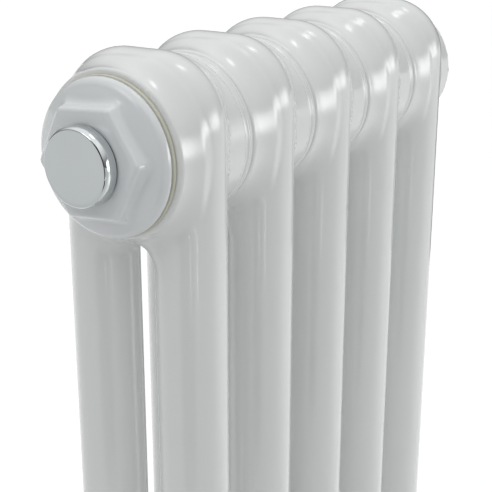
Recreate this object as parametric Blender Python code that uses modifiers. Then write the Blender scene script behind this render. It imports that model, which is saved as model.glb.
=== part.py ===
"""Five-section, two-column steel radiator: pressed heads welded in a row, round tubes between them,
a flanged hexagon bush in each of the four hub ends, and pull-off chrome caps over the two top plugs.

Frame, in metres: +X runs along the row from left to right, -Y is the front, +Z is up.
The origin is under the middle of the row, at the lowest point of the bottom heads.
"""
import math

import bmesh
import bpy
from mathutils import Matrix

# Row of sections
SECTIONS = 5
PITCH = 0.045               # one section to the next, along X
HEIGHT = 0.500              # lowest to highest point of the heads
GAP = 0.0003                # left between faces that touch

# Columns: two round tubes in each section, one behind the other
COLUMN_SPACING = 0.0395     # front tube axis to rear tube axis
TUBE_RADIUS = 0.013
TUBE_WALL = 0.0015

# Heads: a hub tube along X, crossed by a bent tube whose legs meet the columns
CROWN = 0.0347              # hub axis to the top of the head
BEND_RADIUS = 0.013         # of the bent tube's centre line at each shoulder
HUB_RADIUS = 0.0304
HUB_WALL = 0.0020
HUB_WIDTH = 0.0402
HUB_EDGE = 0.0012           # rounding of the hub's rims
END_FACING = 0.0018         # machined off the hub at each end of the row
SADDLE_DEPTH = 0.0360       # hub axis to the arch between the two legs
WEB_THICKNESS = 0.018
WEB_WALL = 0.0020

# Weld rings between neighbouring hubs
RING_RADIUS = 0.0297

# Threaded bosses welded into the four hub ends
BOSS_BORE = 0.0213
BOSS_LENGTH = 0.0120

# Flanged hexagon bushes, measured outwards from the flange's back face
GASKET_RADIUS = 0.0292
GASKET_THICKNESS = 0.0015
SHANK_RADIUS = 0.0209
SHANK_LENGTH = 0.0110
FLANGE_RADIUS = 0.0276
FLANGE_DEPTH = 0.0050
FLANGE_ROUND = 0.0033       # radius of the flange's front edge
HEX_BASE = 0.0048
HEX_FACE = 0.0103
HEX_ACROSS_BASE = 0.0392
HEX_ACROSS_FACE = 0.0372
HEX_EDGE = 0.0016
PLUG_BORE = 0.0105          # for a half-inch plug
VALVE_BORE = 0.0093         # for a half-inch valve tail
HEX_TURN = {"top_left": 4.5, "top_right": -10.0, "bottom_left": 13.0, "bottom_right": -6.0}

# Plugs and caps, measured outwards from the hexagon's face
WASHER_RADIUS = 0.0118
WASHER_THICKNESS = 0.0010
PLUG_HEAD_RADIUS = 0.0118
PLUG_HEAD_DEPTH = 0.0026
PLUG_LENGTH = 0.0120
SOCKET_ACROSS = 0.0080      # hexagon socket in the blank plug
SOCKET_DEPTH = 0.0060
BLEED_BORE = 0.0025
BLEED_HEAD = 0.0007         # how far the bleed screw stands out of its plug
BLEED_SQUARE = 0.0033       # across the flats of the square that takes the key
BLEED_RECESS = 0.0016       # the round part ends this far below the plug's face
VENT_HOLE_RADIUS = 0.0007
VENT_HOLE_PLACE = 0.0070    # from the plug's axis
CAP_RADIUS = 0.0135
CAP_DEPTH = 0.0061
CAP_WALL = 0.0010
CAP_EDGE = 0.0005

# Facets
ROUND = 24
HUB_SIDES = 28
TUBE_SIDES = 20
SMALL_ROUND = 16
VENT_HOLE_SIDES = 6
BEND_STEPS = 3
LOOP_RESOLUTION = 4         # gives twelve sides
ARCH_STEPS = 6
WELD_DISTANCE = 1e-6

HUB_HEIGHTS = {"top": HEIGHT - CROWN, "bottom": CROWN}
ARCH_RADIUS = COLUMN_SPACING / 2 - TUBE_RADIUS
LEG_END = SADDLE_DEPTH + ARCH_RADIUS + GAP
ROW_END = SECTIONS * PITCH / 2 - (PITCH - HUB_WIDTH) / 2 - END_FACING

MATERIALS = {
    "body_enamel": ((0.84, 0.87, 0.87), 0.20, 0.0),
    "bush_enamel": ((0.82, 0.85, 0.86), 0.22, 0.0),
    "gasket": ((0.80, 0.79, 0.68), 0.55, 0.0),
    "steel": ((0.45, 0.46, 0.47), 0.42, 1.0),
    "brass": ((0.72, 0.55, 0.28), 0.32, 1.0),
    "rubber": ((0.03, 0.03, 0.03), 0.60, 0.0),
    "chrome": ((0.86, 0.87, 0.88), 0.05, 1.0),
}


def clear_scene():
    for old in list(bpy.data.objects):
        bpy.data.objects.remove(old, do_unlink=True)


def make_collection(name):
    made = bpy.data.collections.new(name)
    bpy.context.scene.collection.children.link(made)
    return made


def make_material(name):
    colour, roughness, metallic = MATERIALS[name]
    made = bpy.data.materials.new(name)
    made.use_nodes = True
    shader = made.node_tree.nodes["Principled BSDF"]
    shader.inputs["Base Color"].default_value = (*colour, 1.0)
    shader.inputs["Roughness"].default_value = roughness
    shader.inputs["Metallic"].default_value = metallic
    return made


def link(name, data, collection):
    made = bpy.data.objects.new(name, data)
    collection.objects.link(made)
    return made


def make_cutter(shape):
    """Hide a shape that only cuts or joins another one."""
    shape.hide_render = True
    shape.display_type = "WIRE"
    return shape


def boolean(target, tool, operation):
    step = target.modifiers.new(operation.lower(), "BOOLEAN")
    step.operation = operation
    step.solver = "EXACT"
    step.object = tool
    return step


def evaluated_mesh(shape, name):
    """The shape's mesh with its modifiers worked out and its loose caps welded."""
    bpy.context.view_layer.update()
    graph = bpy.context.evaluated_depsgraph_get()
    mesh = bpy.data.meshes.new_from_object(shape.evaluated_get(graph), depsgraph=graph)
    mesh.name = name
    work = bmesh.new()
    work.from_mesh(mesh)
    bmesh.ops.remove_doubles(work, verts=work.verts, dist=WELD_DISTANCE)
    work.to_mesh(mesh)
    work.free()
    return mesh


def finish(shape, material, angle=40.0):
    """Give a finished piece its material and its smooth, sharp-edged shading."""
    mesh = shape.data
    mesh.materials.clear()
    mesh.materials.append(material)
    mesh.shade_smooth()
    mesh.set_sharp_from_angle(angle=math.radians(angle))
    return shape


def along_x(sign=1):
    """Turn local +Z to world +X or -X."""
    return Matrix.Rotation(math.radians(90.0 * sign), 4, "Y")


def turned(name, profile, closed, collection, sides=ROUND):
    """A turned solid about local Z. The profile holds (radius, height) points down its outer side."""
    mesh = bpy.data.meshes.new(name)
    points = [(radius, 0.0, height) for radius, height in profile]
    edges = [(i, i + 1) for i in range(len(points) - 1)]
    if closed:
        edges.append((len(points) - 1, 0))
    mesh.from_pydata(points, edges, [])
    made = link(name, mesh, collection)
    screw = made.modifiers.new("turn", "SCREW")
    screw.axis = "Z"
    screw.angle = 2 * math.pi
    screw.steps = sides
    screw.render_steps = sides
    screw.use_merge_vertices = True
    screw.merge_threshold = WELD_DISTANCE
    screw.use_normal_calculate = False
    return made


def edged_rod(radius, low, high, edge):
    """Outer side of a rod from its top centre to its bottom centre, with broken rims."""
    return [(0.0, high), (radius - edge, high), (radius, high - edge),
            (radius, low + edge), (radius - edge, low), (0.0, low)]


def plain_rod(radius, low, high):
    return [(0.0, high), (radius, high), (radius, low), (0.0, low)]


def ring_profile(outer, inner, low, high):
    return [(outer, high), (outer, low), (inner, low), (inner, high)]


def loop_points(leg_end):
    """Centre line of a head's bent tube in the YZ plane: up one leg, over the crown, down the other."""
    half = COLUMN_SPACING / 2
    corner = half - BEND_RADIUS
    rise = CROWN - TUBE_RADIUS - BEND_RADIUS
    turn = [math.radians(90.0 * i / BEND_STEPS) for i in range(BEND_STEPS + 1)]
    left = [(-corner - BEND_RADIUS * math.cos(a), rise + BEND_RADIUS * math.sin(a)) for a in turn]
    right = [(-y, z) for y, z in reversed(left)]
    return [(-half, -leg_end)] + left + right + [(half, -leg_end)]


def bent_tube(name, radius, leg_end, collection):
    curve = bpy.data.curves.new(name, "CURVE")
    curve.dimensions = "3D"
    curve.bevel_depth = radius
    curve.bevel_resolution = LOOP_RESOLUTION
    curve.use_fill_caps = True
    points = loop_points(leg_end)
    spline = curve.splines.new("POLY")
    spline.points.add(len(points) - 1)
    for point, (y, z) in zip(spline.points, points):
        point.co = (0.0, y, z, 1.0)
    return curve_to_mesh(link(name, curve, collection), collection)


def web_plate(name, thickness, bottom_gap, arch_radius, collection):
    """The flat web between a head's legs, with the arch cut into its lower edge."""
    half = COLUMN_SPACING / 2
    centre = SADDLE_DEPTH + ARCH_RADIUS
    low = LEG_END - bottom_gap
    start = math.asin(min(1.0, max(0.0, (centre - low) / arch_radius)))
    turns = [start + (math.pi - 2 * start) * i / ARCH_STEPS for i in range(ARCH_STEPS + 1)]
    arch = [(arch_radius * math.cos(a), -centre + arch_radius * math.sin(a)) for a in turns]
    outline = [(half, 0.0), (-half, 0.0), (-half, -low)] + list(reversed(arch)) + [(half, -low)]
    curve = bpy.data.curves.new(name, "CURVE")
    curve.dimensions = "2D"
    curve.fill_mode = "BOTH"
    curve.extrude = thickness / 2
    spline = curve.splines.new("POLY")
    spline.points.add(len(outline) - 1)
    for point, (y, z) in zip(spline.points, outline):
        point.co = (y, z, 0.0, 1.0)
    spline.use_cyclic_u = True
    made = link(name, curve, collection)
    made.matrix_world = Matrix(((0, 0, 1, 0), (1, 0, 0, 0), (0, 1, 0, 0), (0, 0, 0, 1)))
    return curve_to_mesh(made, collection)


def curve_to_mesh(source, collection):
    """Swap a curve object for a welded mesh object with its outward faces, at the same place."""
    name = source.name
    mesh = evaluated_mesh(source, name)
    work = bmesh.new()
    work.from_mesh(mesh)
    bmesh.ops.recalc_face_normals(work, faces=work.faces)
    work.to_mesh(mesh)
    work.free()
    place = source.matrix_world.copy()
    bpy.data.objects.remove(source, do_unlink=True)
    made = link(name, mesh, collection)
    made.matrix_world = place
    return made


def head_mesh(name, trim, cutters):
    """One hollow head about its hub axis, legs down. trim is machined off the hub's left rim."""
    left = -HUB_WIDTH / 2 + trim
    right = HUB_WIDTH / 2
    rod = edged_rod(HUB_RADIUS, left, right, HUB_EDGE)
    hub = turned(f"{name}_hub", rod, False, cutters, HUB_SIDES)
    hub.matrix_world = along_x()
    bore_radius = HUB_RADIUS - HUB_WALL
    reach = HUB_WIDTH
    bore = turned(f"{name}_bore", plain_rod(bore_radius, -reach, reach), False, cutters, HUB_SIDES)
    bore.matrix_world = along_x()
    tools = (
        (bent_tube(f"{name}_loop", TUBE_RADIUS, LEG_END, cutters), "UNION"),
        (web_plate(f"{name}_web", WEB_THICKNESS, GAP, ARCH_RADIUS, cutters), "UNION"),
        (bore, "DIFFERENCE"),
        (bent_tube(f"{name}_way", TUBE_RADIUS - TUBE_WALL, LEG_END + TUBE_WALL, cutters), "DIFFERENCE"),
        (web_plate(f"{name}_slot", WEB_THICKNESS - 2 * WEB_WALL, ARCH_RADIUS, ARCH_RADIUS + WEB_WALL,
                   cutters), "DIFFERENCE"),
    )
    for tool, operation in tools:
        make_cutter(tool)
        boolean(hub, tool, operation)
    mesh = evaluated_mesh(hub, name)
    mesh.transform(hub.matrix_world)
    bpy.data.objects.remove(hub, do_unlink=True)
    return mesh


def section_x(index):
    return (index - (SECTIONS - 1) / 2) * PITCH


def make_heads(parts, cutters, enamel):
    """Top and bottom head of every section. The end heads are the same piece turned about."""
    inner = head_mesh("inner_head", 0.0, cutters)
    end = head_mesh("end_head", END_FACING, cutters)
    for level, height in HUB_HEIGHTS.items():
        for index in range(SECTIONS):
            is_end = index in (0, SECTIONS - 1)
            head = link(f"head_{level}_{index + 1}", end if is_end else inner, parts)
            turn_z = math.pi if index == SECTIONS - 1 else 0.0
            turn_x = math.pi if level == "bottom" else 0.0
            head.location = (section_x(index), 0.0, height)
            head.rotation_euler = (turn_x, 0.0, turn_z)
            finish(head, enamel)


def make_tubes(parts, enamel):
    """Ten hollow columns, butt-jointed to the heads' legs."""
    low = HUB_HEIGHTS["bottom"] + LEG_END + GAP
    high = HUB_HEIGHTS["top"] - LEG_END - GAP
    shape = turned("column", ring_profile(TUBE_RADIUS, TUBE_RADIUS - TUBE_WALL, low, high), True, parts,
                   TUBE_SIDES)
    mesh = evaluated_mesh(shape, "column")
    bpy.data.objects.remove(shape, do_unlink=True)
    for index in range(SECTIONS):
        for row, side in (("front", -1), ("rear", 1)):
            tube = link(f"tube_{row}_{index + 1}", mesh, parts)
            tube.location = (section_x(index), side * COLUMN_SPACING / 2, 0.0)
            finish(tube, enamel)


def make_weld_rings(parts, enamel):
    """Rings that join neighbouring hubs, top and bottom, a little below the hubs' own surface."""
    half = (PITCH - HUB_WIDTH) / 2 - GAP
    inner = HUB_RADIUS - HUB_WALL
    profile = ring_profile(RING_RADIUS, inner, -half, half)
    shape = turned("weld_ring", profile, True, parts)
    mesh = evaluated_mesh(shape, "weld_ring")
    bpy.data.objects.remove(shape, do_unlink=True)
    for level, height in HUB_HEIGHTS.items():
        for index in range(SECTIONS - 1):
            ring = link(f"weld_ring_{level}_{index + 1}", mesh, parts)
            place = Matrix.Translation((section_x(index) + PITCH / 2, 0.0, height))
            ring.matrix_world = place @ along_x()
            finish(ring, enamel)


def corner_frame(corner, outwards):
    """Local +Z points out of the row's end; the origin is that far out from the machined hub face."""
    level, side = corner.split("_")
    sign = -1 if side == "left" else 1
    place = Matrix.Translation((sign * (ROW_END + outwards), 0.0, HUB_HEIGHTS[level]))
    return place @ along_x(sign)


def make_boss(corner, parts, steel):
    """Thick ring with the large thread, flush with the hub face."""
    profile = ring_profile(HUB_RADIUS - HUB_WALL - GAP, BOSS_BORE, -BOSS_LENGTH, 0.0)
    boss = turned(f"boss_{corner}", profile, True, parts)
    boss.matrix_world = corner_frame(corner, 0.0)
    finish(boss, steel)


def make_gasket(corner, parts, material):
    profile = ring_profile(GASKET_RADIUS, BOSS_BORE, GAP, GAP + GASKET_THICKNESS)
    gasket = turned(f"gasket_{corner}", profile, True, parts)
    gasket.matrix_world = corner_frame(corner, 0.0)
    finish(gasket, material)


def flange_profile(bore):
    """Shank, rounded flange and the neck under the hexagon, down the outside and back up the bore."""
    neck = HEX_ACROSS_FACE / 2 - HEX_EDGE
    rise = [math.radians(a) for a in (90, 45, 0)]
    body = FLANGE_DEPTH - FLANGE_ROUND
    crown = FLANGE_ROUND
    side = [(FLANGE_RADIUS - crown + crown * math.cos(a), body + crown * math.sin(a)) for a in rise]
    outer = [(neck, HEX_FACE - HEX_EDGE), (neck, FLANGE_DEPTH)] + side
    outer += [(FLANGE_RADIUS, 0.0), (SHANK_RADIUS, 0.0), (SHANK_RADIUS, -SHANK_LENGTH)]
    return outer + [(bore, -SHANK_LENGTH), (bore, HEX_FACE - HEX_EDGE)]


def hexagon(name, across_low, across_high, low, high, collection):
    """A drafted hexagon with a corner on local -Y, before its edges are rounded."""
    mesh = bpy.data.meshes.new(name)
    work = bmesh.new()
    corner = 1 / math.cos(math.radians(30))
    bmesh.ops.create_cone(work, cap_ends=True, segments=6, radius1=across_low / 2 * corner,
                          radius2=across_high / 2 * corner, depth=high - low)
    bmesh.ops.translate(work, verts=work.verts, vec=(0.0, 0.0, (high + low) / 2))
    work.to_mesh(mesh)
    work.free()
    return link(name, mesh, collection)


def make_bush(corner, bore, parts, cutters, enamel):
    """Flanged bush: turned body, hexagon on top, and a through bore."""
    bush = hexagon(f"bush_{corner}", HEX_ACROSS_BASE, HEX_ACROSS_FACE, HEX_BASE, HEX_FACE, parts)
    edges = bush.modifiers.new("edges", "BEVEL")
    edges.width = HEX_EDGE
    edges.segments = 1
    edges.limit_method = "ANGLE"
    body = make_cutter(turned(f"bush_body_{corner}", flange_profile(bore), True, cutters))
    way = make_cutter(turned(f"bush_way_{corner}", plain_rod(bore, 0.0, HEX_FACE * 2), False, cutters))
    place = corner_frame(corner, GASKET_THICKNESS + 2 * GAP)
    turn = Matrix.Rotation(math.radians(HEX_TURN[corner]), 4, "Z")
    bush.matrix_world = place @ turn
    body.matrix_world = place
    way.matrix_world = place
    boolean(bush, way, "DIFFERENCE")
    boolean(bush, body, "UNION")
    finish(bush, enamel, 25.0)


def plug_frame(corner):
    return corner_frame(corner, GASKET_THICKNESS + 2 * GAP + HEX_FACE)


def make_washer(corner, parts, rubber):
    profile = ring_profile(WASHER_RADIUS, PLUG_BORE, GAP, GAP + WASHER_THICKNESS)
    washer = turned(f"plug_washer_{corner}", profile, True, parts, SMALL_ROUND)
    washer.matrix_world = plug_frame(corner)
    finish(washer, rubber)


def plug_outline():
    """Outer side of a half-inch plug, from the top of its head down to the end of its shank."""
    seat = WASHER_THICKNESS + 2 * GAP
    head = seat + PLUG_HEAD_DEPTH
    shank = PLUG_BORE - GAP
    return head, [(PLUG_HEAD_RADIUS, head), (PLUG_HEAD_RADIUS, seat), (shank, seat), (shank, -PLUG_LENGTH)]


def make_vent_plug(corner, parts, cutters, brass):
    """Brass plug with a bore for the bleed screw and a small hole that lets the air out."""
    head, outline = plug_outline()
    profile = outline + [(BLEED_BORE + GAP, -PLUG_LENGTH), (BLEED_BORE + GAP, head)]
    plug = turned(f"vent_plug_{corner}", profile, True, parts, SMALL_ROUND)
    hole = turned("vent_hole", plain_rod(VENT_HOLE_RADIUS, -PLUG_LENGTH * 2, head * 2), False, cutters,
                  VENT_HOLE_SIDES)
    make_cutter(hole)
    plug.matrix_world = plug_frame(corner)
    hole.matrix_world = plug_frame(corner) @ Matrix.Translation((0.0, -VENT_HOLE_PLACE, 0.0))
    boolean(plug, hole, "DIFFERENCE")
    finish(plug, brass)


def make_bleed_screw(corner, parts, cutters, brass):
    """Bleed screw: a pointed needle with a square head for the key, centred on its own axis."""
    head, _ = plug_outline()
    shoulder = head - BLEED_RECESS
    profile = [(0.0, shoulder), (BLEED_BORE, shoulder), (BLEED_BORE, -PLUG_LENGTH),
               (0.0, -PLUG_LENGTH - BLEED_BORE)]
    screw = turned(f"bleed_screw_{corner}", profile, False, parts, SMALL_ROUND)
    mesh = bpy.data.meshes.new("bleed_square")
    work = bmesh.new()
    low = shoulder - BLEED_RECESS
    high = head + BLEED_HEAD
    bmesh.ops.create_cube(work, size=1.0)
    bmesh.ops.scale(work, verts=work.verts, vec=(BLEED_SQUARE, BLEED_SQUARE, high - low))
    bmesh.ops.translate(work, verts=work.verts, vec=(0.0, 0.0, (high + low) / 2))
    work.to_mesh(mesh)
    work.free()
    square = make_cutter(link("bleed_square", mesh, cutters))
    screw.matrix_world = plug_frame(corner)
    square.matrix_world = plug_frame(corner)
    boolean(screw, square, "UNION")
    finish(screw, brass)


def make_blank_plug(corner, parts, cutters, brass):
    """Brass plug with a hexagon socket in its head."""
    head, outline = plug_outline()
    plug = turned(f"blank_plug_{corner}", [(0.0, head)] + outline + [(0.0, -PLUG_LENGTH)], False, parts,
                  SMALL_ROUND)
    socket = hexagon("plug_socket", SOCKET_ACROSS, SOCKET_ACROSS, head - SOCKET_DEPTH, head * 2, cutters)
    make_cutter(socket)
    plug.matrix_world = plug_frame(corner)
    socket.matrix_world = plug_frame(corner)
    boolean(plug, socket, "DIFFERENCE")
    finish(plug, brass)


def make_cap(corner, parts, chrome):
    """Thin cup that pulls straight off the plug's head."""
    low = GAP
    inner = CAP_RADIUS - CAP_WALL
    top = CAP_DEPTH
    rim = [math.radians(a) for a in (90, 45, 0)]
    round_edge = [(CAP_RADIUS - CAP_EDGE + CAP_EDGE * math.cos(a), top - CAP_EDGE + CAP_EDGE * math.sin(a))
                  for a in rim]
    profile = [(0.0, top)] + round_edge + [(CAP_RADIUS, low), (inner, low), (inner, top - CAP_WALL),
                                           (0.0, top - CAP_WALL)]
    cap = turned(f"cap_{corner}", profile, False, parts)
    cap.matrix_world = plug_frame(corner)
    finish(cap, chrome)


def main():
    clear_scene()
    parts = make_collection("column_radiator")
    cutters = make_collection("cutters")
    material = {name: make_material(name) for name in MATERIALS}
    make_heads(parts, cutters, material["body_enamel"])
    make_tubes(parts, material["body_enamel"])
    make_weld_rings(parts, material["body_enamel"])
    for corner in HEX_TURN:
        make_boss(corner, parts, material["steel"])
        make_gasket(corner, parts, material["gasket"])
        bore = PLUG_BORE if corner.startswith("top") else VALVE_BORE
        make_bush(corner, bore, parts, cutters, material["bush_enamel"])
    for corner in ("top_left", "top_right"):
        make_washer(corner, parts, material["rubber"])
        make_cap(corner, parts, material["chrome"])
    make_vent_plug("top_left", parts, cutters, material["brass"])
    make_bleed_screw("top_left", parts, cutters, material["brass"])
    make_blank_plug("top_right", parts, cutters, material["brass"])


main()
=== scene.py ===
import math

import bmesh
import bpy
import numpy as np
from mathutils import Matrix, Vector


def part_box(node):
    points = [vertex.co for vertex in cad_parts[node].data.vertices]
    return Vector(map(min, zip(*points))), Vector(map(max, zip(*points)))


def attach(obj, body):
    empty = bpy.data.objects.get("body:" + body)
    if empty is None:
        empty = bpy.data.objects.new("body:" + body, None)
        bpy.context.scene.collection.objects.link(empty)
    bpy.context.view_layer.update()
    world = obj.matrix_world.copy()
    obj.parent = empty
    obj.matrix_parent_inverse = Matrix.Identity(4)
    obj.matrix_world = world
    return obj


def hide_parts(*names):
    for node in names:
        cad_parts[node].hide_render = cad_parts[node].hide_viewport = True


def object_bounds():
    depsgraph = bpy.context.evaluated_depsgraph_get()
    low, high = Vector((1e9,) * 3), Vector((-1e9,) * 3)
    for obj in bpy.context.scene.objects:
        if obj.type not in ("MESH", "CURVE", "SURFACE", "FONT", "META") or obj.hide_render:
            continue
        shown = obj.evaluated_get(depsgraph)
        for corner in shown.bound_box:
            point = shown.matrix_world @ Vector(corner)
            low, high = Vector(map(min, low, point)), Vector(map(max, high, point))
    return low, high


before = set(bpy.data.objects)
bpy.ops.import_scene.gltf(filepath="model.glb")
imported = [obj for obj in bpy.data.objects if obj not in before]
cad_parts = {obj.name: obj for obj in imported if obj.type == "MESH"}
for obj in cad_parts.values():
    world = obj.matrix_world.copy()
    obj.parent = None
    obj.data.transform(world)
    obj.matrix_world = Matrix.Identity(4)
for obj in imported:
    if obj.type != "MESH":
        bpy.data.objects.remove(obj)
CAD_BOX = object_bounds()

# ---------------------------------------------------------------- sizes read from the frame, in metres
MM = 0.001
SECTIONS = 5


def middle(node, axis):
    low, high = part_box(node)
    return (low[axis] + high[axis]) / 2


HUB_Z = {level: middle(f"weld_ring_{level}_1", 2) for level in ("top", "bottom")}
TUBE_Y = {row: middle(f"tube_{row}_1", 1) for row in ("front", "rear")}
SECTION_X = [middle(f"tube_front_{k}", 0) for k in range(1, SECTIONS + 1)]

# ---------------------------------------------------------------- heads, in mm from the hub's axis
HUB_R = 30.3
HUB_HALF = 20.1
HUB_SQUASH = 1.045          # below its axis the hub is this much flatter
END_TRIM = 1.8              # taken off the outer hubs to seat their gaskets
EDGE_LEFT, EDGE_RIGHT, EDGE_SEAT = 1.5, 0.8, 1.2
TUBE_R = 12.98
LEG = 19.74                 # from the row's middle plane to a tube's axis
CROWN_LINE = 21.55          # the bent tube's axis over the hub
CORNER_R = 13.0
ARCH_Z = -42.75             # centre of the arch that joins the legs under the hub
CUT_Z = -43.05              # lower end of the head's legs
FILLET_CREST = 2.0          # reach of the fillet between tube and hub at the tube's crest
FILLET_HIGH = 6.5           # the same on the flanks, high on the hub
FILLET_LEFT, FILLET_RIGHT = 8.5, 1.6
FLANK = 3.0, 9.0            # the crest's fillet gives way to the flank's between these widths
LEFT_RISE, RIGHT_RISE = (2.0, 22.0), (12.0, 25.0)   # and the low fillet to the high one between these heights
BEAD_TURN = -14.0, 38.0     # weld beads start and end here, in degrees round the hub
BEAD_APART = 2.4, 5.2
BEAD_SIZE, BEAD_SHIFT = (0.55, 1.05), (-0.1, 0.5)
BEAD_SINK, BEAD_BLEND = 0.1, 0.9


def smooth(a, b, x):
    t = np.clip((x - a) / (b - a), 0.0, 1.0)
    return t * t * (3 - 2 * t)


def blend(a, b, k):
    """Smooth union of two distance fields; k is the fillet's reach."""
    h = np.clip(0.5 + 0.5 * (b - a) / k, 0.0, 1.0)
    return b + (a - b) * h - k * h * (1 - h)


def carve(a, b, k):
    """Smooth cut: what is inside a and outside the solid whose negated distance is b."""
    return -blend(-a, -b, k)


def rounded_slab(u, v, r):
    """Distance to the corner region u<0, v<0 with its edge rounded by r."""
    u, v = u + r, v + r
    return np.hypot(np.maximum(u, 0), np.maximum(v, 0)) + np.minimum(np.maximum(u, v), 0) - r


def loop_distance(across, z):
    """Distance, in the section's plane, to the axis of the tube that is bent over the hub."""
    u, v = across - (LEG - CORNER_R), z - (CROWN_LINE - CORNER_R)
    return np.hypot(np.maximum(u, 0), np.maximum(v, 0)) + np.minimum(np.maximum(u, v), 0) - CORNER_R


def head_field(trim_left=0.0, beads=()):
    def field(x, y, z):
        radial = np.hypot(y, z * np.where(z < 0, HUB_SQUASH, 1.0)) - HUB_R
        right = rounded_slab(radial, x - HUB_HALF, EDGE_RIGHT)
        left = rounded_slab(radial, -x - HUB_HALF + trim_left, EDGE_SEAT if trim_left else EDGE_LEFT)
        hub = np.maximum(left, right)
        loop = np.hypot(x, loop_distance(np.abs(y), z)) - TUBE_R
        arch = np.hypot(x, np.hypot(y, np.maximum(z - ARCH_Z, 0)) - LEG) - TUBE_R
        flank = smooth(*FLANK, np.abs(x))
        left_reach = FILLET_LEFT + (FILLET_HIGH - FILLET_LEFT) * smooth(*LEFT_RISE, z)
        right_reach = FILLET_RIGHT + (FILLET_HIGH - FILLET_RIGHT) * smooth(*RIGHT_RISE, z)
        reach = FILLET_CREST + (np.where(x < 0, left_reach, right_reach) - FILLET_CREST) * flank
        body = blend(np.minimum(loop, arch), hub, reach)
        for bx, by, bz, br in beads:
            body = blend(body, np.sqrt((x - bx) ** 2 + (y - by) ** 2 + (z - bz) ** 2) - br, BEAD_BLEND)
        return body
    return field


def weld_beads(rng):
    """A run of small beads down the right-hand crease between tube and hub, front and rear."""
    made = []
    line = HUB_R - BEAD_SINK
    for side in (-1, 1):
        angle, end = BEAD_TURN
        while angle < end:
            y, z = line * math.cos(math.radians(angle)), line * math.sin(math.radians(angle))
            x = math.sqrt(max(TUBE_R ** 2 - float(loop_distance(y, z)) ** 2, 1.0))
            size = rng.uniform(*BEAD_SIZE)
            made.append((x + rng.uniform(*BEAD_SHIFT), side * y, z, size))
            angle += rng.uniform(*BEAD_APART)
    return made


def gradient(field, p, e=0.02):
    g = np.empty_like(p)
    for d in range(3):
        step = np.zeros(3)
        step[d] = e
        g[:, d] = field(*(p + step).T) - field(*(p - step).T)
    return g / (2 * e)


def surface_net(field, low, high, step):
    """Vertices and quads of the field's zero surface on a regular grid."""
    low = np.array(low, float)
    counts = [int(math.ceil((b - a) / step)) + 1 for a, b in zip(low, high)]
    grid = np.meshgrid(*[a + step * np.arange(n) for a, n in zip(low, counts)], indexing="ij")
    f = field(*grid)
    f[f == 0] = 1e-9
    cells = np.array(counts) - 1
    total = np.zeros((cells.prod(), 3))
    count = np.zeros(cells.prod())
    faces = []
    for d in range(3):
        e1, e2 = (d + 1) % 3, (d + 2) % 3
        near = [slice(None)] * 3
        far = [slice(None)] * 3
        near[d], far[d] = slice(0, -1), slice(1, None)
        f0, f1 = f[tuple(near)], f[tuple(far)]
        hit = (f0 < 0) != (f1 < 0)
        index = np.argwhere(hit)
        a, b = f0[hit], f1[hit]
        place = low + index * step
        place[:, d] += a / (a - b) * step
        ring = []
        good = np.ones(len(index), bool)
        for o1, o2 in ((0, 0), (1, 0), (1, 1), (0, 1)):
            cell = index.copy()
            cell[:, e1] -= o1
            cell[:, e2] -= o2
            inside = ((cell >= 0) & (cell < cells)).all(1)
            flat = np.ravel_multi_index(np.clip(cell, 0, cells - 1).T, tuple(cells))
            np.add.at(total, flat[inside], place[inside])
            np.add.at(count, flat[inside], 1)
            ring.append(flat)
            good &= inside
        quad = np.stack(ring, 1)[good]
        flip = (a >= 0)[good]
        quad[flip] = quad[flip][:, ::-1]
        faces.append(quad)
    used = count > 0
    remap = np.full(len(count), -1)
    remap[used] = np.arange(used.sum())
    return total[used] / count[used, None], remap[np.concatenate(faces)]


def skin(name, field, low, high, step, floor=None):
    """A mesh, in metres, lying exactly on the field's zero surface, with the field's own normals."""
    points, quads = surface_net(field, low, high, step)
    mesh = bpy.data.meshes.new(name)
    mesh.from_pydata(points.tolist(), [], quads.tolist())
    if floor is not None:
        work = bmesh.new()
        work.from_mesh(mesh)
        bmesh.ops.bisect_plane(work, geom=work.verts[:] + work.edges[:] + work.faces[:], dist=1e-4,
                               plane_co=(0, 0, floor), plane_no=(0, 0, -1), clear_outer=True)
        work.to_mesh(mesh)
        work.free()
    points = np.empty(len(mesh.vertices) * 3)
    mesh.vertices.foreach_get("co", points)
    points = points.reshape(-1, 3)
    for _ in range(3):
        g = gradient(field, points)
        move = (field(*points.T) / np.maximum((g * g).sum(1), 0.3))[:, None] * g
        if floor is not None:
            move[np.abs(points[:, 2] - floor) < 1e-3, 2] = 0
        points = points - np.clip(move, -step, step)
    normals = gradient(field, points)
    normals /= np.linalg.norm(normals, axis=1)[:, None]
    mesh.vertices.foreach_set("co", (points * MM).ravel())
    mesh.shade_smooth()
    mesh.normals_split_custom_set_from_vertices(normals.tolist())
    mesh.update()
    return mesh


def lathe(name, profile, sides=96, closed=False):
    """A turned mesh about local Z from (radius, height) points in mm down the outer side."""
    profile = [(r * MM, z * MM) for r, z in profile]
    work = bmesh.new()
    rings = []
    for r, z in profile:
        if r < 1e-7:
            rings.append([work.verts.new((0, 0, z))])
        else:
            turns = [2 * math.pi * i / sides for i in range(sides)]
            rings.append([work.verts.new((r * math.cos(t), r * math.sin(t), z)) for t in turns])
    pairs = list(zip(rings, rings[1:])) + ([(rings[-1], rings[0])] if closed else [])
    for upper, lower in pairs:
        for i in range(sides):
            j = (i + 1) % sides
            if len(upper) == 1 and len(lower) == 1:
                continue
            if len(upper) == 1:
                work.faces.new((upper[0], lower[i], lower[j]))
            elif len(lower) == 1:
                work.faces.new((upper[i], lower[0], upper[j]))
            else:
                work.faces.new((upper[i], lower[i], lower[j], upper[j]))
    mesh = bpy.data.meshes.new(name)
    work.to_mesh(mesh)
    work.free()
    mesh.shade_smooth()
    mesh.set_sharp_from_angle(angle=math.radians(35))
    return mesh


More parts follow.
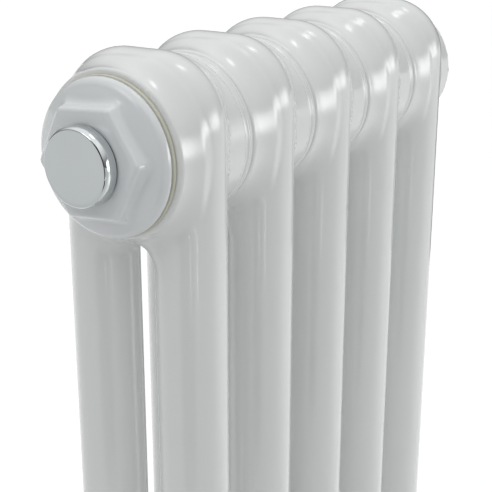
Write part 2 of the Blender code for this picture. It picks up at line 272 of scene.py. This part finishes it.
def arc(cx, cz, r, a0, a1, n=6):
    return [(cx + r * math.cos(math.radians(a0 + (a1 - a0) * i / n)),
             cz + r * math.sin(math.radians(a0 + (a1 - a0) * i / n))) for i in range(n + 1)]


def add(name, mesh, place, body, slot, material, *nodes):
    obj = bpy.data.objects.new(name, mesh)
    bpy.context.scene.collection.objects.link(obj)
    obj.matrix_world = place
    if not mesh.materials:
        mesh.materials.append(material)
    bpy.context.view_layer.update()
    if nodes:
        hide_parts(*nodes)
    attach(obj, body)
    return obj


# ---------------------------------------------------------------- materials
def new_material(name):
    made = bpy.data.materials.new(name)
    made.use_nodes = True
    tree = made.node_tree
    return made, tree, tree.nodes["Principled BSDF"]


def noise(tree, scale, detail=2.0):
    coords = tree.nodes.new("ShaderNodeTexCoord")
    node = tree.nodes.new("ShaderNodeTexNoise")
    node.inputs["Scale"].default_value = scale
    node.inputs["Detail"].default_value = detail
    tree.links.new(coords.outputs["Object"], node.inputs["Vector"])
    return node.outputs["Fac"]


def ramp(tree, fac, stops):
    node = tree.nodes.new("ShaderNodeValToRGB")
    for _ in range(len(stops) - 2):
        node.color_ramp.elements.new(0.5)
    for element, (at, colour) in zip(node.color_ramp.elements, stops):
        element.position = at
        element.color = (*colour, 1.0)
    tree.links.new(fac, node.inputs["Fac"])
    return node.outputs["Color"]


def spread(tree, fac, low, high, start=0.3, end=0.7):
    node = tree.nodes.new("ShaderNodeMapRange")
    node.inputs["From Min"].default_value = start
    node.inputs["From Max"].default_value = end
    node.inputs["To Min"].default_value = low
    node.inputs["To Max"].default_value = high
    tree.links.new(fac, node.inputs["Value"])
    return node.outputs["Result"]


def bump(tree, shader, height, distance, below=None):
    node = tree.nodes.new("ShaderNodeBump")
    node.inputs["Distance"].default_value = distance
    tree.links.new(height, node.inputs["Height"])
    if below is not None:
        tree.links.new(below, node.inputs["Normal"])
    tree.links.new(node.outputs["Normal"], shader.inputs["Normal"])
    return node.outputs["Normal"]


def enamel(name, light, dark, roughness):
    made, tree, shader = new_material(name)
    colour = ramp(tree, noise(tree, 26.0, 3.0), [(0.32, dark), (0.68, light)])
    tree.links.new(colour, shader.inputs["Base Color"])
    tree.links.new(spread(tree, noise(tree, 60.0, 2.0), roughness - 0.025, roughness + 0.03),
                   shader.inputs["Roughness"])
    shader.inputs["Coat Weight"].default_value = 0.5
    shader.inputs["Coat Roughness"].default_value = 0.06
    shader.inputs["Coat IOR"].default_value = 1.5
    shader.inputs["IOR"].default_value = 1.5
    wave = bump(tree, shader, noise(tree, 95.0, 1.0), 0.00006)
    bump(tree, shader, noise(tree, 620.0, 2.0), 0.000005, below=wave)
    return made


def metal(name, light, dark, roughness, scale, grain, depth):
    made, tree, shader = new_material(name)
    colour = ramp(tree, noise(tree, scale, 3.0), [(0.3, dark), (0.7, light)])
    tree.links.new(colour, shader.inputs["Base Color"])
    tree.links.new(spread(tree, noise(tree, scale * 2.3, 3.0), roughness * 0.8, roughness * 1.25),
                   shader.inputs["Roughness"])
    shader.inputs["Metallic"].default_value = 1.0
    bump(tree, shader, noise(tree, grain, 2.0), depth)
    return made


BODY = enamel("body_enamel_look", (0.848, 0.864, 0.858), (0.833, 0.849, 0.844), 0.20)
BUSH = enamel("bush_enamel_look", (0.80, 0.826, 0.836), (0.785, 0.811, 0.821), 0.23)
CHROME = metal("chrome_look", (0.72, 0.755, 0.76), (0.70, 0.735, 0.74), 0.035, 40.0, 300.0, 0.000002)
BRASS = metal("brass_look", (0.78, 0.62, 0.34), (0.72, 0.56, 0.29), 0.24, 45.0, 900.0, 0.000004)
STEEL = metal("steel_look", (0.48, 0.49, 0.50), (0.38, 0.39, 0.40), 0.42, 120.0, 1800.0, 0.00001)


def soft_look(name, light, dark, roughness, scales):
    """Fibre or rubber; scales are those of its colour, its roughness and its grain."""
    made, tree, shader = new_material(name)
    patches, wear, grain = scales
    colour = ramp(tree, noise(tree, patches, 3.0), [(0.3, dark), (0.7, light)])
    tree.links.new(colour, shader.inputs["Base Color"])
    tree.links.new(spread(tree, noise(tree, wear), *roughness), shader.inputs["Roughness"])
    bump(tree, shader, noise(tree, grain, 3.0), 0.00002)
    return made


GASKET = soft_look("gasket_look", (0.68, 0.675, 0.58), (0.60, 0.60, 0.50), (0.45, 0.60), (60.0, 200.0, 900.0))
RUBBER = soft_look("rubber_look", (0.04, 0.04, 0.042), (0.018, 0.018, 0.018), (0.55, 0.75),
                   (150.0, 300.0, 1500.0))

# ---------------------------------------------------------------- heads, tubes and rings
HEAD_STEP = 1.0
HEAD_BOX = (-21.5, -34.5, CUT_Z - 2.5), (21.5, 34.5, 36.0)


def trimmed_right(field):
    return lambda x, y, z: np.maximum(field(x, y, z), x - HUB_HALF + END_TRIM)


rng = np.random.default_rng(7)
for k in range(1, SECTIONS + 1):
    if k == SECTIONS:
        field = trimmed_right(head_field())
    else:
        field = head_field(END_TRIM if k == 1 else 0.0, weld_beads(rng))
    mesh = skin(f"head_{k}", field, *HEAD_BOX, HEAD_STEP, floor=CUT_Z)
    for level in ("top", "bottom"):
        place = Matrix.Translation((SECTION_X[k - 1], 0.0, HUB_Z[level]))
        if level == "bottom":
            place = place @ Matrix.Rotation(math.pi, 4, "X")
        add(f"head_skin_{level}_{k}", mesh, place, "radiator", "body_enamel", BODY, f"head_{level}_{k}")

TOP_CUT = HUB_Z["top"] / MM + CUT_Z
LOW_CUT = HUB_Z["bottom"] / MM - CUT_Z
SPIGOT_R, SPIGOT_LENGTH = TUBE_R - 0.03, 1.5        # the tube's ends reach into the head's legs
spigot = [(SPIGOT_R - 0.37, SPIGOT_LENGTH), (SPIGOT_R, SPIGOT_LENGTH - 0.1), (SPIGOT_R, 0.0)]
tube_mesh = lathe("tube_skin", [(r, TOP_CUT + z) for r, z in spigot]
                  + [(TUBE_R, TOP_CUT), (TUBE_R, (TOP_CUT + LOW_CUT) / 2), (TUBE_R, LOW_CUT)]
                  + [(r, LOW_CUT - z) for r, z in reversed(spigot)], 128)
for k in range(1, SECTIONS + 1):
    for row in ("front", "rear"):
        place = Matrix.Translation((SECTION_X[k - 1], TUBE_Y[row], 0.0))
        add(f"tube_skin_{row}_{k}", tube_mesh, place, "radiator", "body_enamel", BODY, f"tube_{row}_{k}")

RING_R, RING_INNER, RING_HALF = 29.45, 27.0, 3.2
RING_RISE, RING_CREST, RING_WIDTH = 0.5, 0.1, 0.75    # its rounded bead's height, place and width


def ring_profile():
    """A thin weld bead round the gap between two hubs."""
    along = np.linspace(-RING_HALF, RING_HALF, 25)
    bead = [(RING_R + RING_RISE * math.exp(-((x - RING_CREST) / RING_WIDTH) ** 2), -x) for x in along]
    return [(RING_INNER, RING_HALF)] + bead + [(RING_INNER, -RING_HALF)]


ring_mesh = lathe("ring_skin", ring_profile(), 160)
for level in ("top", "bottom"):
    for k in range(1, SECTIONS):
        x = (SECTION_X[k - 1] + SECTION_X[k]) / 2
        place = Matrix.Translation((x, 0.0, HUB_Z[level])) @ Matrix.Rotation(math.radians(-90), 4, "Y")
        add(f"ring_skin_{level}_{k}", ring_mesh, place, "radiator", "body_enamel", BODY,
            f"weld_ring_{level}_{k}")

# ---------------------------------------------------------------- bushes, gaskets, plugs and caps
# Heights are in mm out of the row's end: from the flange's back face for a bush and its gasket, and from the
# hexagon's face for a plug, its washer and its cap.
BACK_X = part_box("gasket_top_left")[0][0] - 0.0003       # the flange's back face, 0.3 mm outside the gasket
HEX_TURN = {"top_left": 4.5, "top_right": -10.0, "bottom_left": 13.0, "bottom_right": -6.0}
FLANGE_R, FLANGE_EDGE, FLANGE_ROUND = 27.95, 3.3, 2.5
DOME_RISE, DOME_START, DOME_END = 2.0, 20.0, 28.0
HEX_FACE, HEX_HALF, HEX_DRAFT, HEX_CORNER, HEX_EDGE = 10.3, 19.6, 0.14, 2.6, 1.6
HEX_BASE = 4.8
HEX_FILLET = 2.4
SHANK_R, SHANK_LENGTH = 20.6, 10.8
PLUG_BORE, VALVE_BORE, BORE_EDGE = 10.5, 9.3, 0.7
THREAD_PITCH, THREAD_HALF = 1.814, 0.36
BUSH_BOX = (-28.5, -28.5, -11.6), (28.5, 28.5, 11.2)
PLAIN_STEP, THREAD_STEP = 0.55, 0.5
SINE_60 = math.sin(math.radians(60.0))


def corner_place(corner, out=0.0):
    """Local +Z points out of the row's end, from the flange's back face."""
    level, side = corner.split("_")
    sign = -1 if side == "left" else 1
    return (Matrix.Translation((sign * (-BACK_X + out * MM), 0.0, HUB_Z[level]))
            @ Matrix.Rotation(math.radians(90.0 * sign), 4, "Y"))


def six_sides(x, y):
    """How far out a point lies towards the nearest of six sides, and towards the next one."""
    sides = [np.abs(x), np.abs(0.5 * x + SINE_60 * y), np.abs(0.5 * x - SINE_60 * y)]
    order = np.sort(np.stack(sides), axis=0)
    return order[2], order[1]


def hexagon_field(x, y, z):
    """A drafted hexagon whose upright corners and front edge are rounded."""
    half = HEX_HALF - HEX_DRAFT * (z - HEX_BASE)
    p, q = [side - half + HEX_CORNER for side in six_sides(x, y)]
    t = (q - p * 0.5) / SINE_60
    corner = np.hypot(np.maximum(p, 0), np.maximum(t, 0))
    outline = np.where((p > 0) & (t > 0), corner, p) - HEX_CORNER
    return rounded_slab(outline, z - HEX_FACE, HEX_EDGE)


def thread(x, y, z, depth):
    """Height of a half-inch pipe thread with rounded ridges, from 0 to twice the depth."""
    return depth * (1.0 + np.cos(2 * math.pi * z / THREAD_PITCH - np.arctan2(y, x)))


def bush_field(turn, bore, depth):
    c, s = math.cos(math.radians(turn)), math.sin(math.radians(turn))

    def field(x, y, z):
        rho = np.hypot(x, y)
        dome = DOME_RISE * (1.0 - smooth(DOME_START, DOME_END, rho))
        front = rounded_slab(rho - FLANGE_R, z - FLANGE_EDGE - dome, FLANGE_ROUND)
        flange = np.maximum(front, rounded_slab(rho - FLANGE_R, -z, 0.5))
        body = blend(flange, hexagon_field(c * x + s * y, -s * x + c * y, z), HEX_FILLET)
        shank = np.maximum(rho - SHANK_R, np.maximum(z - 2.0, -z - SHANK_LENGTH))
        body = np.minimum(body, shank)
        return carve(body, bore + thread(x, y, z, depth) - rho, BORE_EDGE)
    return field


GASKET_BEAD, GASKET_ROUND, GASKET_INNER = 27.9, 0.4, 21.3
gasket_mesh = lathe("gasket_skin", arc(GASKET_BEAD, -0.7, GASKET_ROUND, 90, 0, 4)
                    + arc(GASKET_BEAD, -1.4, GASKET_ROUND, 0, -90, 4)
                    + [(GASKET_INNER, -1.8), (GASKET_INNER, -0.3)], 128, closed=True)
for corner, turn in HEX_TURN.items():
    if corner.startswith("top"):
        field, step = bush_field(turn, PLUG_BORE, 0.0), PLAIN_STEP
    else:
        field, step = bush_field(turn, VALVE_BORE, THREAD_HALF), THREAD_STEP
    mesh = skin(f"bush_{corner}", field, *BUSH_BOX, step)
    place = corner_place(corner)
    add(f"bush_skin_{corner}", mesh, place, "radiator", "bush_enamel", BUSH, f"bush_{corner}")
    add(f"gasket_skin_{corner}", gasket_mesh, place, "radiator", "gasket", GASKET, f"gasket_{corner}")

CAP_R, CAP_FACE, CAP_BORE, CAP_WALL, CAP_LIP = 13.85, 6.1, 12.5, 1.0, 0.6
CAP_EDGE = 1.05, 2.3        # the rounded edge's reach inwards and down
WASHER_INNER, WASHER_LIP = 10.5, 13.3


def cap_profile():
    """A thin cup: flat face, elliptical edge, straight side and a rolled lip."""
    across, down = CAP_EDGE
    turns = [math.radians(t) for t in range(0, 91, 6)]
    edge = [(CAP_R + across * (math.sin(t) - 1.0), CAP_FACE + down * (math.cos(t) - 1.0)) for t in turns]
    lip = [(CAP_R, CAP_LIP + 0.5), (CAP_R - 0.15, CAP_LIP + 0.15), (CAP_R - 0.45, CAP_LIP)]
    inside = [(CAP_BORE, CAP_LIP), (CAP_BORE, CAP_FACE - CAP_WALL), (0.0, CAP_FACE - CAP_WALL)]
    return [(0.0, CAP_FACE), (6.0, CAP_FACE), (11.5, CAP_FACE)] + edge + lip + inside


def washer_profile():
    """A flat washer under the plug's head with a thin lip that shows round the cap."""
    return (arc(11.5, 1.0, 0.3, 90, 0, 3) + [(11.8, 0.4)] + arc(WASHER_LIP, 0.25, 0.15, 90, -90, 4)
            + [(WASHER_INNER, 0.1), (WASHER_INNER, 1.3)])


cap_mesh = lathe("cap_skin", cap_profile(), 192)
washer_mesh = lathe("washer_skin", washer_profile(), 96, closed=True)
for corner, body in (("top_left", "cap_left"), ("top_right", "cap_right")):
    place = corner_place(corner, HEX_FACE)
    add(f"cap_skin_{corner}", cap_mesh, place, body, "chrome", CHROME, f"cap_{corner}")
    add(f"washer_skin_{corner}", washer_mesh, place, "radiator", "rubber", RUBBER, f"plug_washer_{corner}")

PLUG_R, PLUG_FACE, PLUG_SEAT, PLUG_SHANK, PLUG_END = 11.75, 4.2, 1.62, 10.15, -12.0
PLUG_THREAD = 0.35
PLUG_HOLE_EDGE = 0.35
PLUG_BOX, PLUG_STEP = ((-12.6, -12.6, -12.8), (12.6, 12.6, 5.2)), 0.46
VENT_AT, VENT_R = (0.0, -7.0), 0.7
SOCKET_HALF, SOCKET_FLOOR = 4.0, -1.8
BLEED_R, BLEED_GAP, BLEED_SHOULDER = 2.5, 0.3, 2.6
BLEED_TOP, BLEED_HALF = 4.9, 1.65               # the square that takes the key
BLEED_BOX, BLEED_STEP = ((-3.1, -3.1, -15.2), (3.1, 3.1, 5.6)), 0.22


def plug_field(hole):
    """Half-inch plug with a soft edge to its head; hole is positive inside what is cut out of it."""
    def field(x, y, z):
        rho = np.hypot(x, y)
        head = np.maximum(rounded_slab(rho - PLUG_R, z - PLUG_FACE, 0.5),
                          rounded_slab(rho - PLUG_R, PLUG_SEAT - z, 0.15))
        crest = PLUG_SHANK - thread(x, y, z, PLUG_THREAD)
        shank = np.maximum(rounded_slab(rho - crest, PLUG_END - z, 0.8), z - PLUG_SEAT - 0.5)
        return carve(np.minimum(head, shank), hole(x, y, z), PLUG_HOLE_EDGE)
    return field


def vent_holes(x, y, z):
    bore = BLEED_R + BLEED_GAP - np.hypot(x, y)
    return np.maximum(bore, VENT_R - np.hypot(x - VENT_AT[0], y - VENT_AT[1]))


def key_socket(x, y, z):
    return np.minimum(SOCKET_HALF - six_sides(x, y)[0], z - SOCKET_FLOOR)


def bleed_field(x, y, z):
    """A pointed needle with a square head whose corners are turned off."""
    rho = np.hypot(x, y)
    point = 0.7 * (PLUG_END - BLEED_R + rho - z)
    stem = np.maximum(rounded_slab(rho - BLEED_R, z - BLEED_SHOULDER, 0.3), point)
    side = np.maximum(np.abs(x), np.abs(y)) - BLEED_HALF
    square = np.maximum(rounded_slab(side, z - BLEED_TOP, 0.35), rho - 1.27 * BLEED_HALF)
    return blend(stem, np.maximum(square, -z), 0.3)


for name, hole, corner in (("vent_plug", vent_holes, "top_left"), ("blank_plug", key_socket, "top_right")):
    mesh = skin(name, plug_field(hole), *PLUG_BOX, PLUG_STEP)
    add(f"{name}_skin", mesh, corner_place(corner, HEX_FACE), "radiator", "brass", BRASS, f"{name}_{corner}")
mesh = skin("bleed_screw", bleed_field, *BLEED_BOX, BLEED_STEP)
add("bleed_screw_skin", mesh, corner_place("top_left", HEX_FACE), "bleed_screw", "brass", BRASS,
    "bleed_screw_top_left")

# ---------------------------------------------------------------- carried-over nodes
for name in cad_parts:
    if name.startswith("boss"):
        for slot in bpy.data.objects[name].material_slots:
            slot.material = STEEL

# ---------------------------------------------------------------- floor, lights, world and camera
# Azimuths run from +X towards +Y, in degrees.
STUDIO_AZIMUTH, FLOOR_AZIMUTH = 33.0, 18.0
# Painted shade and painted light on the floor: its colour is darker on the near side, and it glows on the far
# side.
FLOOR_NEAR, FLOOR_FAR = (0.72, 0.725, 0.73), (0.90, 0.90, 0.90)
FLOOR_RAMP = -0.50, 0.35
FLOOR_GLOW, GLOW_RAMP = 0.32, (-0.20, 0.35)
FLOOR_SIZE, FLOOR_DROP = 400.0, 0.0002
SKY_NEAR = [(0.0, 0.13), (0.26, 0.22), (0.50, 0.66), (0.80, 1.0)]
SKY_FAR = [(0.0, 0.10), (0.15, 0.15), (0.40, 0.45), (0.80, 1.0)]
SKY_LEVEL = 1.01
BACKDROP = (0.78, 0.785, 0.79)
SKY_BLEND = 0.7
CARD_DARK, CARD_LIGHT = (0.035, 0.035, 0.035), (0.045, 0.045, 0.045)
CAMERA_AT = (-0.38044, -0.23292, 0.55900)
CAMERA_AZIMUTH, CAMERA_PITCH = 0.5793, 0.3152       # radians, pitch is downwards
CAMERA_LENS, CAMERA_SHIFT = 79.22, -0.055
FAR_CLIP = 400.0

# What the lights are aimed at
ROW, COLUMNS, LEFT_END = (-0.06, 0.0, 0.42), (0.06, -0.02, 0.30), (-0.127, 0.0, 0.465)
HEADS, UNDER_HEADS, FIRST_SECTION = (-0.03, -0.02, 0.46), (-0.03, -0.02, 0.44), (-0.09, -0.02, 0.44)


def level_axis(azimuth):
    a = math.radians(azimuth)
    return math.cos(a), math.sin(a), 0.0


def dot(tree, vector, axis):
    node = tree.nodes.new("ShaderNodeVectorMath")
    node.operation = "DOT_PRODUCT"
    tree.links.new(vector, node.inputs[0])
    node.inputs[1].default_value = axis
    return node.outputs["Value"]


def make_floor():
    """A pale floor with painted shade, a little darker on the near side, and a faint painted glow of its own
    on the far side that stands in for light.
    """
    bpy.ops.mesh.primitive_plane_add(size=FLOOR_SIZE, location=(0.0, 0.0, CAD_BOX[0][2] - FLOOR_DROP))
    floor = bpy.context.object
    floor.name = "floor"
    made, tree, shader = new_material("floor_look")
    coords = tree.nodes.new("ShaderNodeTexCoord")
    depth = dot(tree, coords.outputs["Object"], level_axis(FLOOR_AZIMUTH))
    colour = ramp(tree, spread(tree, depth, 0.0, 1.0, *FLOOR_RAMP), [(0.0, FLOOR_NEAR), (1.0, FLOOR_FAR)])
    tree.links.new(colour, shader.inputs["Base Color"])
    tree.links.new(spread(tree, depth, 0.0, FLOOR_GLOW, *GLOW_RAMP), shader.inputs["Emission Strength"])
    shader.inputs["Emission Color"].default_value = (1.0, 1.0, 1.0, 1.0)
    tree.links.new(spread(tree, noise(tree, 8.0), 0.75, 0.85), shader.inputs["Roughness"])
    shader.inputs["Specular IOR Level"].default_value = 0.1
    floor.data.materials.append(made)


def falloff(tree, value, half, core):
    """1 in the middle, easing to 0 at the light's edge; core is the part that stays at 1."""
    distance = tree.nodes.new("ShaderNodeMath")
    distance.operation = "ABSOLUTE"
    tree.links.new(value, distance.inputs[0])
    fall = tree.nodes.new("ShaderNodeMapRange")
    fall.interpolation_type = "SMOOTHSTEP"
    fall.inputs["From Min"].default_value = half * core
    fall.inputs["From Max"].default_value = half
    fall.inputs["To Min"].default_value = 1.0
    fall.inputs["To Max"].default_value = 0.0
    tree.links.new(distance.outputs["Value"], fall.inputs["Value"])
    return fall.outputs["Result"]


def product(tree, a, b):
    node = tree.nodes.new("ShaderNodeMath")
    node.operation = "MULTIPLY"
    tree.links.new(a, node.inputs[0])
    tree.links.new(b, node.inputs[1])
    return node.outputs["Value"]


def soft_light(name, azimuth, elevation, distance, size, radiance, target=ROW, core=(0.2, 0.2),
               diffuse=True, glossy=True):
    """A rectangular softbox with soft edges, seen from its target at this azimuth and elevation."""
    e = math.radians(elevation)
    way = Vector(level_axis(azimuth)) * math.cos(e) + Vector((0.0, 0.0, math.sin(e)))
    data = bpy.data.lights.new(name, "AREA")
    data.shape = "RECTANGLE"
    data.size, data.size_y = size
    data.energy = radiance * math.pi * size[0] * size[1]
    lamp = bpy.data.objects.new(name, data)
    bpy.context.scene.collection.objects.link(lamp)
    lamp.location = Vector(target) + way * distance
    lamp.rotation_mode = "QUATERNION"
    lamp.rotation_quaternion = (-way).to_track_quat("-Z", "Y")
    lamp.visible_camera = False
    lamp.visible_diffuse = diffuse
    lamp.visible_glossy = glossy
    across = lamp.rotation_quaternion @ Vector((1, 0, 0))
    along = lamp.rotation_quaternion @ Vector((0, 1, 0))
    data.use_nodes = True
    tree = data.node_tree
    place = tree.nodes.new("ShaderNodeNewGeometry")
    offset = tree.nodes.new("ShaderNodeVectorMath")
    offset.operation = "SUBTRACT"
    tree.links.new(place.outputs["Position"], offset.inputs[0])
    offset.inputs[1].default_value = lamp.location
    shade_u = falloff(tree, dot(tree, offset.outputs["Vector"], across), size[0] / 2, core[0])
    shade_v = falloff(tree, dot(tree, offset.outputs["Vector"], along), size[1] / 2, core[1])
    tree.links.new(product(tree, shade_u, shade_v), tree.nodes["Emission"].inputs["Strength"])


def make_flag(name, azimuth, distance, width, low, high):
    """A dark card beside the set that only shows as a dark edge in the glossy pieces."""
    bpy.ops.mesh.primitive_plane_add(size=1.0)
    card = bpy.context.object
    card.name = name
    card.scale = (width, high - low, 1.0)
    card.location = Vector(level_axis(azimuth)) * distance + Vector((0.0, 0.0, (low + high) / 2))
    card.rotation_euler = (math.radians(90.0), 0.0, math.radians(azimuth + 90.0))
    made, tree, shader = new_material("flag_look")
    colour = ramp(tree, noise(tree, 8.0), [(0.3, CARD_DARK), (0.7, CARD_LIGHT)])
    tree.links.new(colour, shader.inputs["Base Color"])
    shader.inputs["Roughness"].default_value = 0.9
    shader.inputs["Specular IOR Level"].default_value = 0.1
    card.data.materials.append(made)
    card.visible_camera = False
    card.visible_diffuse = False
    card.visible_shadow = False
    card.visible_transmission = False


def make_world():
    """A soft sky: bright overhead, lighter on the near side than behind the object.

    Camera rays that miss the floor see a plain pale backdrop instead."""
    world = bpy.data.worlds.new("studio")
    world.use_nodes = True
    bpy.context.scene.world = world
    tree = world.node_tree
    background = tree.nodes["Background"]
    coords = tree.nodes.new("ShaderNodeTexCoord")
    way = coords.outputs["Generated"]
    height = spread(tree, dot(tree, way, (0.0, 0.0, 1.0)), 0.0, 1.0, 0.0, 1.0)
    near = ramp(tree, height, [(z, (v, v, v)) for z, v in SKY_NEAR])
    far = ramp(tree, height, [(z, (v, v, v)) for z, v in SKY_FAR])
    mix = tree.nodes.new("ShaderNodeMix")
    mix.data_type = "RGBA"
    side = dot(tree, way, level_axis(STUDIO_AZIMUTH))
    tree.links.new(spread(tree, side, 0.0, 1.0, -SKY_BLEND, SKY_BLEND), mix.inputs[0])
    tree.links.new(near, mix.inputs[6])
    tree.links.new(far, mix.inputs[7])
    tree.links.new(mix.outputs[2], background.inputs["Color"])
    background.inputs["Strength"].default_value = SKY_LEVEL
    backdrop = tree.nodes.new("ShaderNodeBackground")
    backdrop.inputs["Color"].default_value = (*BACKDROP, 1.0)
    rays = tree.nodes.new("ShaderNodeLightPath")
    choose = tree.nodes.new("ShaderNodeMixShader")
    tree.links.new(rays.outputs["Is Camera Ray"], choose.inputs[0])
    tree.links.new(background.outputs[0], choose.inputs[1])
    tree.links.new(backdrop.outputs[0], choose.inputs[2])
    tree.links.new(choose.outputs[0], tree.nodes["World Output"].inputs["Surface"])


def make_camera():
    data = bpy.data.cameras.new("camera")
    data.sensor_width = 36.0
    data.lens = CAMERA_LENS
    data.shift_y = CAMERA_SHIFT
    data.clip_start, data.clip_end = 0.01, FAR_CLIP
    camera = bpy.data.objects.new("camera", data)
    bpy.context.scene.collection.objects.link(camera)
    camera.location = CAMERA_AT
    level = Vector((math.cos(CAMERA_AZIMUTH), math.sin(CAMERA_AZIMUTH), 0.0))
    way = level * math.cos(CAMERA_PITCH) - Vector((0.0, 0.0, math.sin(CAMERA_PITCH)))
    camera.rotation_mode = "QUATERNION"
    camera.rotation_quaternion = way.to_track_quat("-Z", "Y")
    bpy.context.scene.camera = camera


make_floor()
soft_light("upper_right", -17.0, 70.0, 1.10, (0.32, 0.32), 4.7)
soft_light("right_panel", -60.0, 3.0, 1.30, (1.50, 0.72), 5.1, HEADS, core=(0.2, 0.0), diffuse=False)
soft_light("right_strip", -52.0, -28.0, 0.60, (0.80, 0.34), 0.35, UNDER_HEADS, core=(0.0, 0.2), diffuse=False)
soft_light("right_fill", -50.0, 0.0, 0.60, (0.35, 0.50), 0.9, COLUMNS, glossy=False)
soft_light("left_fill", 137.0, -13.0, 1.20, (0.80, 0.50), 0.10, LEFT_END, diffuse=False)
for name, azimuth in (("strip_a", -146.0), ("strip_b", -125.0)):
    soft_light(name, azimuth, -21.0, 0.55, (0.016, 0.10), 8.0, FIRST_SECTION, core=(0.5, 0.1), diffuse=False)
soft_light("end_key", 168.0, 48.0, 0.80, (0.50, 0.36), 2.2, LEFT_END)
make_flag("near_flag", -159.0, 0.60, 0.40, 0.02, 1.02)
make_flag("far_flag", 6.0, 1.10, 0.60, 0.01, 0.80)
make_world()
make_camera()
view = bpy.context.scene.view_settings
view.view_transform = "Standard"
view.look = "None"
